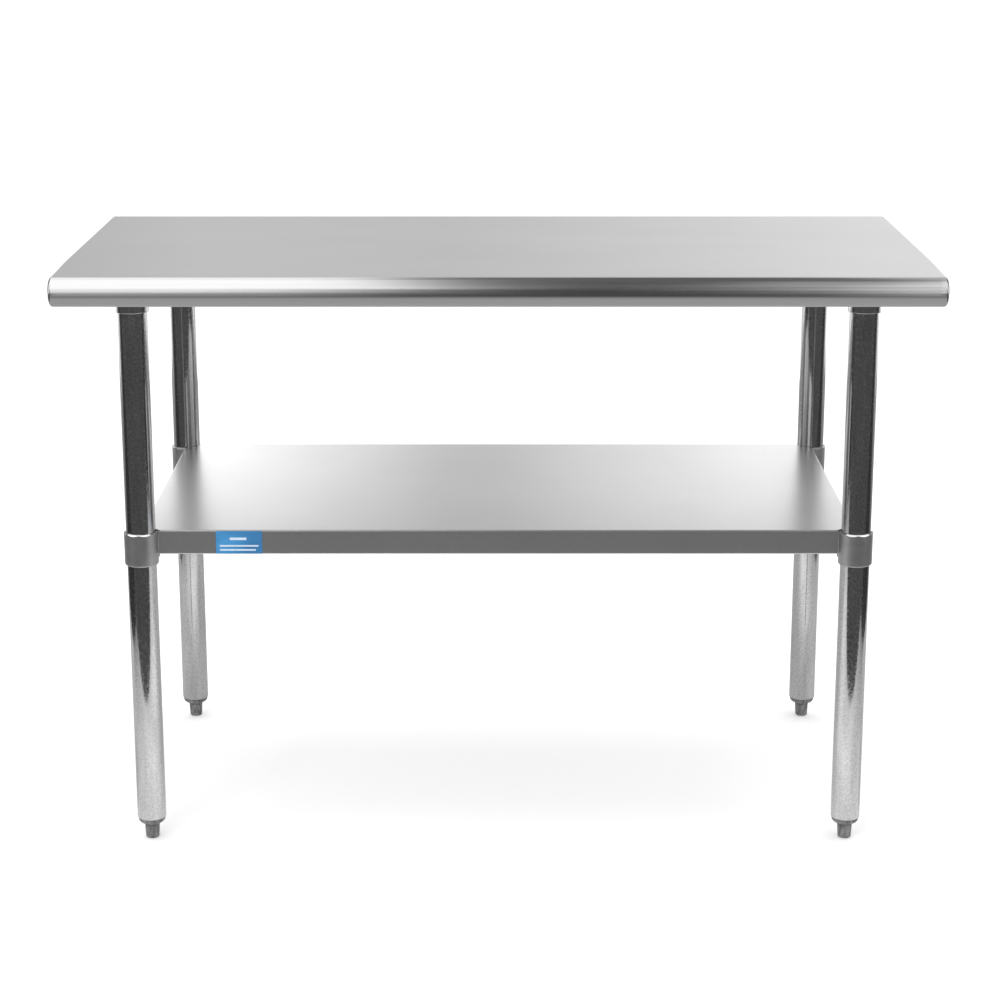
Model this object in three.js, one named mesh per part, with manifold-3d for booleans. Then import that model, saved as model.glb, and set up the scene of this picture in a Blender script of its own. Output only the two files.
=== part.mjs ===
// A free-standing stainless work table: a rolled-edge top on four tube legs with levelling feet,
// and a galvanised undershelf that slides on the legs and is held by set screws.
// Millimetres, +Z up. The origin is on the floor, under the middle of the top.
// +X is the user's right, and -Y is the front edge, where the user stands.

import * as THREE from 'three';
import { mergeVertices } from 'three/addons/utils/BufferGeometryUtils.js';
import Module from 'manifold-3d';

const wasm = await Module();
wasm.setup();

// ---- driving dimensions ----
const TOP_WIDTH = 1219.2;
const TOP_DEPTH = 609.6;
const TOP_HEIGHT = 825.5;
const ROLL_RADIUS = 20.65;
const END_ROUND = 4;
const TOP_SHEET = 1.2;
const SIDE_RETURN = 13;

const LEG_X = 502;
const LEG_Y = 258;
const LEG_RADIUS = 20.65;
const LEG_WALL = 1.5;
const LEG_BOTTOM = 31.5;

const SHELF_TOP = 461.5;
const SHELF_SHEET = 1.2;
const SHELF_EDGE = 35;
const SHELF_RETURN = 12;
const SHELF_NOTCH = 27;
const SHELF_RETURN_NOTCH = 38;
const SHELF_LEG_HOLE_RADIUS = 21.4;

const CHANNEL_SHEET = 1.5;
const CHANNEL_WEB = 70;
const CHANNEL_FLANGE = 20;
const TOP_CHANNEL_DEPTH = 25.4;
const SHELF_CHANNEL_DEPTH = 20;
const CROSS_CHANNEL_LENGTH = 564;
const CENTER_CHANNEL_LENGTH = 880;
const SHELF_CHANNEL_LENGTH = 860;

const TOP_SOCKET_RADIUS = 23.1;
const TOP_SOCKET_BOTTOM = 773;
const TOP_SOCKET_TOP = 821;
const TOP_SOCKET_FLANGE_RADIUS = 33;
const SHELF_SOCKET_RADIUS = 23.8;
const SHELF_SOCKET_HEIGHT = 47;
const GUSSET_REACH = 62;
const PLATE = 3;
const SCREW_BOSS_RADIUS = 6.5;
const SCREW_BOSS_REACH = 27.5;

const SCREW_RADIUS = 4;
const SCREW_LENGTH = 8;
const SCREW_KEY = 2.3;
const SCREW_KEY_DEPTH = 5;

const FOOT_RADIUS = 10.7;
const FOOT_TOE_RADIUS = 9.6;
const FOOT_SOLE_RADIUS = 7.5;
const FOOT_SHOULDER = 21.4;
const FOOT_STEM_RADIUS = 6;
const FOOT_STEM_TOP = 66;
const INSERT_RIM_RADIUS = 19.4;
const INSERT_TIP_RADIUS = 11.4;
const INSERT_TOP = 76;

const STUD_RADIUS = 3;
const STUD_LENGTH = 9;
const CROSS_STUD_Y = 120;
const CENTER_STUD_X = 320;
const NUT_ACROSS_FLATS = 10;
const NUT_HEIGHT = 5;

const LABEL_WIDTH = 65;
const LABEL_HEIGHT = 33;
const LABEL_X = -364.5;
const LABEL_THICKNESS = 0.3;

const GAP = 0.3;
const ROUND = 28;
const SMALL_ROUND = 12;
const ROLL_STEPS = 12;

// ---- places worked out from them ----
const ROLL_CENTER_Y = TOP_DEPTH / 2 - ROLL_RADIUS;
const ROLL_CENTER_Z = TOP_HEIGHT - ROLL_RADIUS;
const TOP_UNDERSIDE = TOP_HEIGHT - TOP_SHEET;
const CHANNEL_TOP = TOP_UNDERSIDE - GAP;
const CHANNEL_BOTTOM = CHANNEL_TOP - TOP_CHANNEL_DEPTH;
const LEG_BORE = LEG_RADIUS + GAP;
const LEG_TOP = TOP_SOCKET_TOP - PLATE - 1;
const SHELF_UNDERSIDE = SHELF_TOP - SHELF_SHEET;
const SHELF_SOCKET_TOP = SHELF_UNDERSIDE - GAP;
const SHELF_SOCKET_BOTTOM = SHELF_SOCKET_TOP - SHELF_SOCKET_HEIGHT;
const TOP_SCREW_HEIGHT = (TOP_SOCKET_BOTTOM + CHANNEL_BOTTOM - PLATE) / 2;
const SHELF_SCREW_HEIGHT = SHELF_SOCKET_BOTTOM + SCREW_BOSS_RADIUS + 1;
const STUD_REACH = CHANNEL_WEB / 2 + CHANNEL_FLANGE / 2;

const CORNERS = [
  { name: 'front_left', side: -1, end: -1 },
  { name: 'front_right', side: 1, end: -1 },
  { name: 'back_left', side: -1, end: 1 },
  { name: 'back_right', side: 1, end: 1 },
];

// Weld studs: four through each cross channel's flanges, and four through the long channel's.
const STUDS = [];
for (const side of [-1, 1]) {
  for (const flange of [-1, 1]) {
    for (const end of [-1, 1]) {
      STUDS.push({ x: side * LEG_X + flange * STUD_REACH, y: end * CROSS_STUD_Y });
    }
  }
}
for (const side of [-1, 1]) {
  for (const flange of [-1, 1]) {
    STUDS.push({ x: side * CENTER_STUD_X, y: flange * STUD_REACH });
  }
}

// ---- materials ----
function metal(color, roughness) {
  return new THREE.MeshStandardMaterial({ color, roughness, metalness: 1 });
}

const stainless = metal('#c4c5c6', 0.32);
const galvanised = metal('#cfd0d1', 0.4);
const tubeSteel = metal('#b4b5b7', 0.28);
const channelSteel = metal('#a9abad', 0.5);
const castAluminium = metal('#7c7e80', 0.55);
const screwSteel = metal('#3b3c3e', 0.45);
const nutSteel = metal('#b9babb', 0.4);
const footPlastic = new THREE.MeshStandardMaterial({ color: '#5e6062', roughness: 0.6, metalness: 0 });
const labelFilm = new THREE.MeshStandardMaterial({ color: '#2f86c4', roughness: 0.4, metalness: 0 });

// ---- solids ----
function toSolid(geometry) {
  const bare = geometry.clone();
  bare.deleteAttribute('normal');
  bare.deleteAttribute('uv');
  const merged = mergeVertices(bare, 1e-4);
  return new wasm.Manifold(new wasm.Mesh({
    numProp: 3,
    vertProperties: new Float32Array(merged.attributes.position.array),
    triVerts: new Uint32Array(merged.index.array),
  }));
}

function addPiece(group, name, solid, material) {
  const data = solid.getMesh();
  const geometry = new THREE.BufferGeometry();
  geometry.setAttribute('position', new THREE.BufferAttribute(new Float32Array(data.vertProperties), 3));
  geometry.setIndex(new THREE.BufferAttribute(new Uint32Array(data.triVerts), 1));
  geometry.computeVertexNormals();
  const mesh = new THREE.Mesh(geometry, material);
  mesh.name = name;
  group.add(mesh);
}

// A solid of revolution about +Z. The outline lists [radius, height] anticlockwise.
function turned(outline, segments) {
  const points = outline.map(([radius, height]) => new THREE.Vector2(radius, height));
  const geometry = new THREE.LatheGeometry(points, segments);
  geometry.rotateX(Math.PI / 2);
  return toSolid(geometry);
}

// A ring of rectangular section about +Z, with an outer chamfer at its lower edge.
function ring(inner, outer, bottom, top, chamfer) {
  return turned([
    [inner, bottom],
    [outer - chamfer, bottom],
    [outer, bottom + chamfer],
    [outer, top],
    [inner, top],
    [inner, bottom],
  ], ROUND);
}

function cylinder(radius, bottom, top, segments) {
  return turned([[0, bottom], [radius, bottom], [radius, top], [0, top]], segments);
}

function block(low, high) {
  const size = high.map((value, axis) => value - low[axis]);
  const geometry = new THREE.BoxGeometry(...size);
  geometry.translate(...high.map((value, axis) => (value + low[axis]) / 2));
  return toSolid(geometry);
}

// A [y, z] shape drawn out along X, centred on x = 0, with the edges of its two ends rounded over.
function alongX(shape, length, endRound = 0) {
  const depth = length - 2 * endRound;
  const geometry = new THREE.ExtrudeGeometry(shape, {
    depth,
    curveSegments: ROLL_STEPS,
    bevelEnabled: endRound > 0,
    bevelThickness: endRound,
    bevelSize: endRound,
    bevelOffset: -endRound,
    bevelSegments: 2,
  });
  geometry.translate(0, 0, -depth / 2);
  geometry.rotateX(Math.PI / 2);
  geometry.rotateZ(Math.PI / 2);
  return toSolid(geometry);
}

// A plate with a flat [x, y] outline between two heights.
function plate(outline, bottom, top) {
  const shape = new THREE.Shape(outline.map(([x, y]) => new THREE.Vector2(x, y)));
  const geometry = new THREE.ExtrudeGeometry(shape, { depth: top - bottom, bevelEnabled: false });
  geometry.translate(0, 0, bottom);
  return toSolid(geometry);
}

// A plate at a leg whose outline is in [u, v]: u along X and v along Y, both towards the table's middle.
function inwardPlate(outline, corner, bottom, top) {
  const points = outline.map(([u, v]) => [-corner.side * u, -corner.end * v]);
  if (corner.side * corner.end < 0) {
    points.reverse();
  }
  return plate(points, bottom, top);
}

function atCorner(solid, corner) {
  return solid.translate([corner.side * LEG_X, corner.end * LEG_Y, 0]);
}

// Turns a solid that lies along +X so that it points from the leg to the middle of the table.
function facingIn(solid, corner) {
  const angle = THREE.MathUtils.radToDeg(Math.atan2(-corner.end, -corner.side));
  return solid.rotate([0, 0, angle]);
}

// A round bar along +X at one height, between two distances from the axis.
function radialBar(radius, near, far, height, segments) {
  return cylinder(radius, near, far, segments).rotate([0, 90, 0]).translate([0, 0, height]);
}

// ---- sheet-metal pieces ----
// The end view of the top: flat, with a half circle at the front and another at the back.
function rolledOutline(radius) {
  const shape = new THREE.Shape();
  shape.moveTo(-ROLL_CENTER_Y, ROLL_CENTER_Z - radius);
  shape.lineTo(ROLL_CENTER_Y, ROLL_CENTER_Z - radius);
  shape.absarc(ROLL_CENTER_Y, ROLL_CENTER_Z, radius, -Math.PI / 2, Math.PI / 2, false);
  shape.lineTo(-ROLL_CENTER_Y, ROLL_CENTER_Z + radius);
  shape.absarc(-ROLL_CENTER_Y, ROLL_CENTER_Z, radius, Math.PI / 2, 3 * Math.PI / 2, false);
  return shape;
}

function tableTop() {
  const skin = alongX(rolledOutline(ROLL_RADIUS), TOP_WIDTH, END_ROUND);
  const inside = rolledOutline(ROLL_RADIUS - TOP_SHEET);
  const hollow = alongX(inside, TOP_WIDTH - 2 * TOP_SHEET, END_ROUND - TOP_SHEET);
  const mouthX = TOP_WIDTH / 2 - SIDE_RETURN;
  const mouth = block(
    [-mouthX, -ROLL_CENTER_Y, ROLL_CENTER_Z - ROLL_RADIUS - 1],
    [mouthX, ROLL_CENTER_Y, ROLL_CENTER_Z],
  );
  const studEnd = TOP_UNDERSIDE - STUD_LENGTH;
  let top = skin.subtract(hollow).subtract(mouth);
  for (const { x, y } of STUDS) {
    const stud = cylinder(STUD_RADIUS, studEnd, TOP_UNDERSIDE + TOP_SHEET / 2, SMALL_ROUND);
    top = top.add(stud.translate([x, y, 0]));
  }
  return top;
}

// A hat channel along X with its flanges up, centred on the origin, its flanges' top face at z = 0.
function hatChannel(length, depth) {
  const web = CHANNEL_WEB / 2;
  const brim = web + CHANNEL_FLANGE;
  const sheet = CHANNEL_SHEET;
  const outline = [
    [-brim, -sheet], [-web, -sheet], [-web, -depth], [web, -depth], [web, -sheet], [brim, -sheet],
    [brim, 0], [web - sheet, 0], [web - sheet, sheet - depth], [sheet - web, sheet - depth],
    [sheet - web, 0], [-brim, 0],
  ];
  return alongX(new THREE.Shape(outline.map(([y, z]) => new THREE.Vector2(y, z))), length);
}

function withStudHoles(channel) {
  let drilled = channel;
  for (const { x, y } of STUDS) {
    const hole = cylinder(STUD_RADIUS + GAP, CHANNEL_TOP - 10, CHANNEL_TOP + 1, SMALL_ROUND);
    drilled = drilled.subtract(hole.translate([x, y, 0]));
  }
  return drilled;
}

function crossChannel(side) {
  const channel = hatChannel(CROSS_CHANNEL_LENGTH, TOP_CHANNEL_DEPTH).rotate([0, 0, 90]);
  let placed = channel.translate([side * LEG_X, 0, CHANNEL_TOP]);
  for (const end of [-1, 1]) {
    const hole = cylinder(TOP_SOCKET_RADIUS + GAP, CHANNEL_BOTTOM - 1, CHANNEL_TOP, ROUND);
    placed = placed.subtract(hole.translate([side * LEG_X, end * LEG_Y, 0]));
  }
  return withStudHoles(placed);
}

// The shelf is a tray upside down. At each corner its edge stops round the socket, its flat lies over the
// socket and stops round the leg and at a 45 degree cut, and the returned lip is cut off wider still.
function undershelf() {
  const low = SHELF_TOP - SHELF_EDGE;
  const sheet = SHELF_SHEET;
  const notch = SHELF_NOTCH + 1;
  const tray = block([-LEG_X, -LEG_Y, low], [LEG_X, LEG_Y, SHELF_TOP]);
  const hollow = block(
    [sheet - LEG_X, sheet - LEG_Y, low + sheet],
    [LEG_X - sheet, LEG_Y - sheet, SHELF_UNDERSIDE],
  );
  const mouth = block(
    [SHELF_RETURN - LEG_X, SHELF_RETURN - LEG_Y, low - 1],
    [LEG_X - SHELF_RETURN, LEG_Y - SHELF_RETURN, low + sheet + 1],
  );
  let shelf = tray.subtract(hollow).subtract(mouth);
  for (const corner of CORNERS) {
    const edgeCut = cylinder(SHELF_SOCKET_RADIUS + GAP, low - 1, SHELF_UNDERSIDE, ROUND);
    const legHole = cylinder(SHELF_LEG_HOLE_RADIUS, low, SHELF_TOP + 1, ROUND);
    const flatOutline = [[-1, -1], [notch, -1], [-1, notch]];
    const flatCut = inwardPlate(flatOutline, corner, SHELF_UNDERSIDE, SHELF_TOP + 1);
    const lipOutline = [[sheet, sheet], [SHELF_RETURN_NOTCH, sheet], [sheet, SHELF_RETURN_NOTCH]];
    const lipCut = inwardPlate(lipOutline, corner, low - 1, low + sheet);
    shelf = shelf.subtract(atCorner(edgeCut.add(legHole).add(flatCut).add(lipCut), corner));
  }
  return shelf;
}

// ---- sockets, screws, legs and feet ----
// Adds the thickened boss on the side that faces the middle of the table, and drills it for its set screw.
function withScrewBoss(socket, corner, height) {
  const boss = radialBar(SCREW_BOSS_RADIUS, LEG_BORE + 0.5, SCREW_BOSS_REACH, height, SMALL_ROUND);
  const bore = radialBar(SCREW_RADIUS + GAP, LEG_RADIUS - 5, SCREW_BOSS_REACH + 5, height, SMALL_ROUND);
  return socket.add(facingIn(boss, corner)).subtract(facingIn(bore, corner));
}

function topSocket(corner) {
  const outline = [
    [LEG_BORE, TOP_SOCKET_BOTTOM],
    [TOP_SOCKET_RADIUS, TOP_SOCKET_BOTTOM],
    [TOP_SOCKET_RADIUS, CHANNEL_BOTTOM - GAP - PLATE],
    [TOP_SOCKET_FLANGE_RADIUS, CHANNEL_BOTTOM - GAP - PLATE],
    [TOP_SOCKET_FLANGE_RADIUS, CHANNEL_BOTTOM - GAP],
    [TOP_SOCKET_RADIUS, CHANNEL_BOTTOM - GAP],
    [TOP_SOCKET_RADIUS, TOP_SOCKET_TOP],
    [0, TOP_SOCKET_TOP],
    [0, TOP_SOCKET_TOP - PLATE],
    [LEG_BORE, TOP_SOCKET_TOP - PLATE],
    [LEG_BORE, TOP_SOCKET_BOTTOM],
  ];
  return atCorner(withScrewBoss(turned(outline, ROUND), corner, TOP_SCREW_HEIGHT), corner);
}

function shelfSocket(corner) {
  const collar = ring(LEG_BORE, SHELF_SOCKET_RADIUS, SHELF_SOCKET_BOTTOM, SHELF_SOCKET_TOP, 2);
  const inset = SHELF_SHEET + GAP;
  const blunt = GUSSET_REACH / 4;
  const wing = inwardPlate([
    [inset, inset],
    [GUSSET_REACH, inset],
    [GUSSET_REACH, blunt],
    [blunt, GUSSET_REACH],
    [inset, GUSSET_REACH],
  ], corner, SHELF_UNDERSIDE - GAP - PLATE, SHELF_UNDERSIDE - GAP);
  const legBore = cylinder(LEG_BORE, SHELF_SOCKET_BOTTOM - 1, SHELF_SOCKET_TOP + 1, ROUND);
  const winged = collar.add(wing.subtract(legBore));
  return atCorner(withScrewBoss(winged, corner, SHELF_SCREW_HEIGHT), corner);
}

// A headless screw with a hexagon key hole in its outer end. Its inner end stops short of the leg.
function setScrew(corner, height) {
  const far = LEG_BORE + SCREW_LENGTH;
  const shank = radialBar(SCREW_RADIUS, LEG_BORE, far, height, SMALL_ROUND);
  const key = radialBar(SCREW_KEY, far - SCREW_KEY_DEPTH, far + 1, height, 6);
  return atCorner(facingIn(shank.subtract(key), corner), corner);
}

function leg(corner) {
  const tube = ring(LEG_RADIUS - LEG_WALL, LEG_RADIUS, LEG_BOTTOM, LEG_TOP, 1);
  return atCorner(tube, corner);
}

// The plug in the leg's lower end: a sleeve inside the tube and a tapered collar below it.
function footInsert(corner) {
  const bore = FOOT_STEM_RADIUS + GAP;
  const sleeve = LEG_RADIUS - LEG_WALL - GAP;
  const rim = LEG_BOTTOM - GAP;
  return atCorner(turned([
    [bore, FOOT_SHOULDER + GAP],
    [INSERT_TIP_RADIUS, FOOT_SHOULDER + GAP],
    [INSERT_TIP_RADIUS + 1.5, FOOT_SHOULDER + 1],
    [INSERT_RIM_RADIUS, rim - 1.3],
    [INSERT_RIM_RADIUS, rim],
    [sleeve, rim],
    [sleeve, INSERT_TOP],
    [bore, INSERT_TOP],
    [bore, FOOT_SHOULDER + GAP],
  ], ROUND), corner);
}

function bulletFoot(corner) {
  return atCorner(turned([
    [0, 0],
    [FOOT_SOLE_RADIUS, 0],
    [FOOT_TOE_RADIUS - 0.9, 0.8],
    [FOOT_TOE_RADIUS, 2.8],
    [FOOT_RADIUS, FOOT_SHOULDER - 2],
    [FOOT_RADIUS, FOOT_SHOULDER],
    [FOOT_STEM_RADIUS, FOOT_SHOULDER],
    [FOOT_STEM_RADIUS, FOOT_STEM_TOP - 1],
    [FOOT_STEM_RADIUS - 1, FOOT_STEM_TOP],
    [0, FOOT_STEM_TOP],
  ], ROUND), corner);
}

function channelNut({ x, y }) {
  const top = CHANNEL_TOP - CHANNEL_SHEET - GAP;
  const hexagon = cylinder(NUT_ACROSS_FLATS / Math.sqrt(3), top - NUT_HEIGHT, top, 6);
  const hole = cylinder(STUD_RADIUS + GAP, top - NUT_HEIGHT - 1, top + 1, SMALL_ROUND);
  return hexagon.subtract(hole).translate([x, y, 0]);
}

function shelfLabel() {
  const back = -LEG_Y - GAP;
  const middle = SHELF_TOP - SHELF_EDGE / 2;
  return block(
    [LABEL_X - LABEL_WIDTH / 2, back - LABEL_THICKNESS, middle - LABEL_HEIGHT / 2],
    [LABEL_X + LABEL_WIDTH / 2, back, middle + LABEL_HEIGHT / 2],
  );
}

// ---- assembly ----
const table = new THREE.Group();

addPiece(table, 'table_top', tableTop(), stainless);
addPiece(table, 'top_channel_left', crossChannel(-1), channelSteel);
addPiece(table, 'top_channel_right', crossChannel(1), channelSteel);
const longChannel = hatChannel(CENTER_CHANNEL_LENGTH, TOP_CHANNEL_DEPTH).translate([0, 0, CHANNEL_TOP]);
addPiece(table, 'top_channel_center', withStudHoles(longChannel), channelSteel);
STUDS.forEach((place, index) => addPiece(table, `channel_nut_${index + 1}`, channelNut(place), nutSteel));

addPiece(table, 'undershelf', undershelf(), galvanised);
const shelfChannel = hatChannel(SHELF_CHANNEL_LENGTH, SHELF_CHANNEL_DEPTH);
addPiece(table, 'shelf_channel', shelfChannel.translate([0, 0, SHELF_UNDERSIDE - GAP]), channelSteel);
addPiece(table, 'shelf_label', shelfLabel(), labelFilm);

for (const corner of CORNERS) {
  addPiece(table, `leg_${corner.name}`, leg(corner), tubeSteel);
  addPiece(table, `top_socket_${corner.name}`, topSocket(corner), castAluminium);
  addPiece(table, `top_set_screw_${corner.name}`, setScrew(corner, TOP_SCREW_HEIGHT), screwSteel);
  addPiece(table, `shelf_socket_${corner.name}`, shelfSocket(corner), castAluminium);
  addPiece(table, `shelf_set_screw_${corner.name}`, setScrew(corner, SHELF_SCREW_HEIGHT), screwSteel);
  addPiece(table, `foot_insert_${corner.name}`, footInsert(corner), footPlastic);
  addPiece(table, `bullet_foot_${corner.name}`, bulletFoot(corner), footPlastic);
}

export default table;
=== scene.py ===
import math

import bmesh
import bpy
from mathutils import Matrix, Vector

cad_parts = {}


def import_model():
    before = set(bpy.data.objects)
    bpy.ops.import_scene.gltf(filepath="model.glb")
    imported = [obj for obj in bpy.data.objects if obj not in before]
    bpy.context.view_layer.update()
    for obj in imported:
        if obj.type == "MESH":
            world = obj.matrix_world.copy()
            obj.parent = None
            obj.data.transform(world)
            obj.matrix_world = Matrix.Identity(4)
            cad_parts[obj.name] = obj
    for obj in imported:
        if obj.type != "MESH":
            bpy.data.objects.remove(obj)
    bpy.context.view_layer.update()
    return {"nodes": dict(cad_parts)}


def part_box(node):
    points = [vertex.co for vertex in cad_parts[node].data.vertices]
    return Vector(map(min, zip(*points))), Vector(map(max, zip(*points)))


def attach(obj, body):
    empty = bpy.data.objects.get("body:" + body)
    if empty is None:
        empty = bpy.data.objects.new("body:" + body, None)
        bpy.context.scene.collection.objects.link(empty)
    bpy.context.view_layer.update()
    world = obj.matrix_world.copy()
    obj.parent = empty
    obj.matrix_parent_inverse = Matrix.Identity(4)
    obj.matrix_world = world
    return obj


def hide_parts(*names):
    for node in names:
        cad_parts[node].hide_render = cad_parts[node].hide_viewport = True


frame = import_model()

# The looks of a stainless work table. Metres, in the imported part's frame: +X right, -Y front, +Z up.

MM = 0.001
CORNERS = ("front_left", "front_right", "back_left", "back_right")


# ---- sizes read from the frame ----
def middle(node):
    low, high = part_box(node)
    return (low + high) / 2


def size(node):
    low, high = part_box(node)
    return high - low


TOP_LOW, TOP_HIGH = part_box("table_top")
TOP_SHEET = 1.2 * MM
ROLL_RADIUS = size("table_top").z / 2
ROLL_STEPS = 36
ROUND_SEGMENTS = 96
LEG_SEGMENTS = 128
SIDE_RETURN = 13 * MM
SIDE_BEND = 1.6 * MM
ROLL_END_INSET = 5 * MM      # how far a front roll's end domes out along the table
ROLL_END_REACH = 8 * MM      # how far the dome starts in from the roll's surface
END_ROUND_RUN = 150 * MM     # how far back along the end the dome fades into the plain bend
FLAT_STEPS = 8
SHELF_LOW, SHELF_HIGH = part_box("undershelf")
SHELF_SHEET = 1.2 * MM
GAP = 0.3 * MM
LEG_RADIUS = size("leg_front_left").x / 2
LEG_WALL = 1.5 * MM
LEG_BORE = LEG_RADIUS + GAP
SEAM_HEIGHT = 0.06 * MM
SEAM_HALF_ANGLE = math.radians(1.6)
# Each leg's weld seam, in degrees round from the front.
SEAM_TURN = {"front_left": -24, "front_right": 150, "back_left": 0, "back_right": 0}
TOP_CUP_RADIUS = 23.1 * MM
STUD_RADIUS = 3 * MM
NUT_COUNT = 12
FOOT_STEM_RADIUS = 6 * MM
SCREW_RADIUS = 4 * MM
SCREW_LENGTH = 8 * MM
UP = Vector((0, 0, 1))
ORIGIN = Vector((0, 0, 0))


# ---- materials ----
class Paint:
    """Builds one material's node tree around a Principled shader."""

    def __init__(self, name, color, metallic, roughness):
        self.material = bpy.data.materials.new(name)
        self.material.use_nodes = True
        self.nodes = self.material.node_tree.nodes
        self.links = self.material.node_tree.links
        self.shader = self.nodes["Principled BSDF"]
        self.shader.inputs["Base Color"].default_value = (*color, 1)
        self.shader.inputs["Metallic"].default_value = metallic
        self.shader.inputs["Roughness"].default_value = roughness
        self.place = self.nodes.new("ShaderNodeTexCoord").outputs["Object"]

    def stretched(self, scale):
        """Object coordinates in metres, multiplied by scale along each axis."""
        mapping = self.nodes.new("ShaderNodeMapping")
        mapping.inputs["Scale"].default_value = scale
        self.links.new(self.place, mapping.inputs["Vector"])
        return mapping.outputs["Vector"]

    def noise(self, scale, detail):
        """A soft grey noise with about scale[axis] spots to the metre along each axis."""
        texture = self.nodes.new("ShaderNodeTexNoise")
        texture.inputs["Scale"].default_value = 1.0
        texture.inputs["Detail"].default_value = detail
        self.links.new(self.stretched(scale), texture.inputs["Vector"])
        return texture.outputs["Fac"]

    def cells(self, scale):
        """A random grey for each cell of a crystal-like pattern."""
        texture = self.nodes.new("ShaderNodeTexVoronoi")
        texture.inputs["Scale"].default_value = 1.0
        self.links.new(self.stretched(scale), texture.inputs["Vector"])
        split = self.nodes.new("ShaderNodeSeparateColor")
        self.links.new(texture.outputs["Color"], split.inputs["Color"])
        return split.outputs["Red"]

    def ranged(self, value, low, high, start=0.0, end=1.0):
        """Maps value from start..end to low..high, held at both ends."""
        node = self.nodes.new("ShaderNodeMapRange")
        node.inputs["From Min"].default_value = start
        node.inputs["From Max"].default_value = end
        node.inputs["To Min"].default_value = low
        node.inputs["To Max"].default_value = high
        self.links.new(value, node.inputs["Value"])
        return node.outputs["Result"]

    def added(self, first, second):
        node = self.nodes.new("ShaderNodeMath")
        node.operation = "ADD"
        self.links.new(first, node.inputs[0])
        self.links.new(second, node.inputs[1])
        return node.outputs["Value"]

    def tint(self, factor, dark, light):
        """Colour goes from dark to light as factor goes from 0 to 1."""
        ramp = self.nodes.new("ShaderNodeMix")
        ramp.data_type = "RGBA"
        ramp.inputs["A"].default_value = (*dark, 1)
        ramp.inputs["B"].default_value = (*light, 1)
        self.links.new(factor, ramp.inputs["Factor"])
        self.links.new(ramp.outputs["Result"], self.shader.inputs["Base Color"])

    def rough(self, value):
        self.links.new(value, self.shader.inputs["Roughness"])

    def bump(self, height, distance, under=None):
        """A relief distance metres deep, on top of the relief under it."""
        node = self.nodes.new("ShaderNodeBump")
        node.inputs["Distance"].default_value = distance
        self.links.new(height, node.inputs["Height"])
        if under is not None:
            self.links.new(under, node.inputs["Normal"])
        return node.outputs["Normal"]

    def relief(self, normal):
        self.links.new(normal, self.shader.inputs["Normal"])

    def brushed(self, amount, direction):
        """Stretches highlights across the brushing, whose lines run along direction."""
        self.shader.inputs["Anisotropic"].default_value = amount
        self.shader.inputs["Anisotropic Rotation"].default_value = 0.25
        along = self.nodes.new("ShaderNodeCombineXYZ")
        for axis, value in zip("XYZ", direction):
            along.inputs[axis].default_value = value
        self.links.new(along.outputs["Vector"], self.shader.inputs["Tangent"])


def grey(value, warm=0.0):
    return (value * (1 + warm), value, value * (1 - warm))


def brushed_stainless():
    paint = Paint("brushed_stainless", grey(0.62), 1.0, 0.24)
    fine = paint.noise((30, 1800, 1800), detail=3)
    streaks = paint.noise((3, 300, 300), detail=4)
    clouds = paint.noise((4, 6, 6), detail=3)
    paint.tint(paint.ranged(streaks, 0, 1, 0.3, 0.7), grey(0.6), grey(0.63))
    grain = paint.added(paint.ranged(fine, 0, 0.05), paint.ranged(streaks, 0.0, 0.03))
    paint.rough(paint.added(grain, paint.ranged(clouds, 0.13, 0.16, 0.3, 0.7)))
    paint.relief(paint.bump(fine, 0.000008, paint.bump(clouds, 0.0001)))
    paint.brushed(0.6, (1, 0, 0))
    return paint.material


def galvanised_sheet():
    paint = Paint("galvanised_sheet", grey(0.64), 0.975, 0.3)
    fleck = paint.noise((420, 420, 420), detail=4)
    rolling = paint.noise((1200, 12, 1200), detail=3)
    clouds = paint.noise((5, 4, 5), detail=3)
    flecks = paint.ranged(fleck, -0.5, 0.5, 0.3, 0.7)
    blotch = paint.added(flecks, paint.ranged(clouds, 0, 1, 0.3, 0.7))
    paint.tint(blotch, grey(0.62, 0.004), grey(0.66, -0.002))
    paint.rough(paint.added(paint.ranged(fleck, 0.27, 0.3), paint.ranged(rolling, 0, 0.04)))
    paint.relief(paint.bump(fleck, 0.000012, paint.bump(clouds, 0.0002)))
    return paint.material


def galvanised_tube():
    paint = Paint("galvanised_tube", grey(0.58), 1.0, 0.08)
    speckle = paint.noise((480, 480, 360), detail=5)
    patches = paint.noise((80, 80, 10), detail=4)
    drawn = paint.noise((260, 260, 3), detail=2)
    flecks = paint.ranged(speckle, 0, 0.5, 0.38, 0.62)
    mottle = paint.added(flecks, paint.ranged(patches, 0, 0.5, 0.3, 0.7))
    paint.tint(mottle, grey(0.44), grey(0.68))
    frosted = paint.ranged(speckle, 0.05, 0.17, 0.42, 0.72)
    paint.rough(paint.added(frosted, paint.ranged(drawn, 0, 0.03)))
    paint.relief(paint.bump(speckle, 0.000014, paint.bump(drawn, 0.00001)))
    return paint.material


def channel_steel():
    paint = Paint("channel_steel", grey(0.55), 1.0, 0.45)
    spangle = paint.cells((120, 120, 120))
    clouds = paint.noise((30, 30, 30), detail=4)
    mottle = paint.added(paint.ranged(spangle, 0, 0.7), paint.ranged(clouds, 0, 0.3, 0.3, 0.7))
    paint.tint(mottle, grey(0.44), grey(0.62))
    paint.rough(paint.ranged(mottle, 0.36, 0.52))
    paint.relief(paint.bump(clouds, 0.0001))
    return paint.material


def cast_aluminium():
    paint = Paint("cast_aluminium", grey(0.42), 1.0, 0.4)
    grain = paint.noise((900, 900, 900), detail=3)
    clouds = paint.noise((70, 70, 70), detail=3)
    paint.tint(paint.ranged(clouds, 0, 1, 0.3, 0.7), grey(0.38), grey(0.46))
    paint.rough(paint.ranged(grain, 0.34, 0.46))
    paint.relief(paint.bump(grain, 0.00008))
    return paint.material


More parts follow.
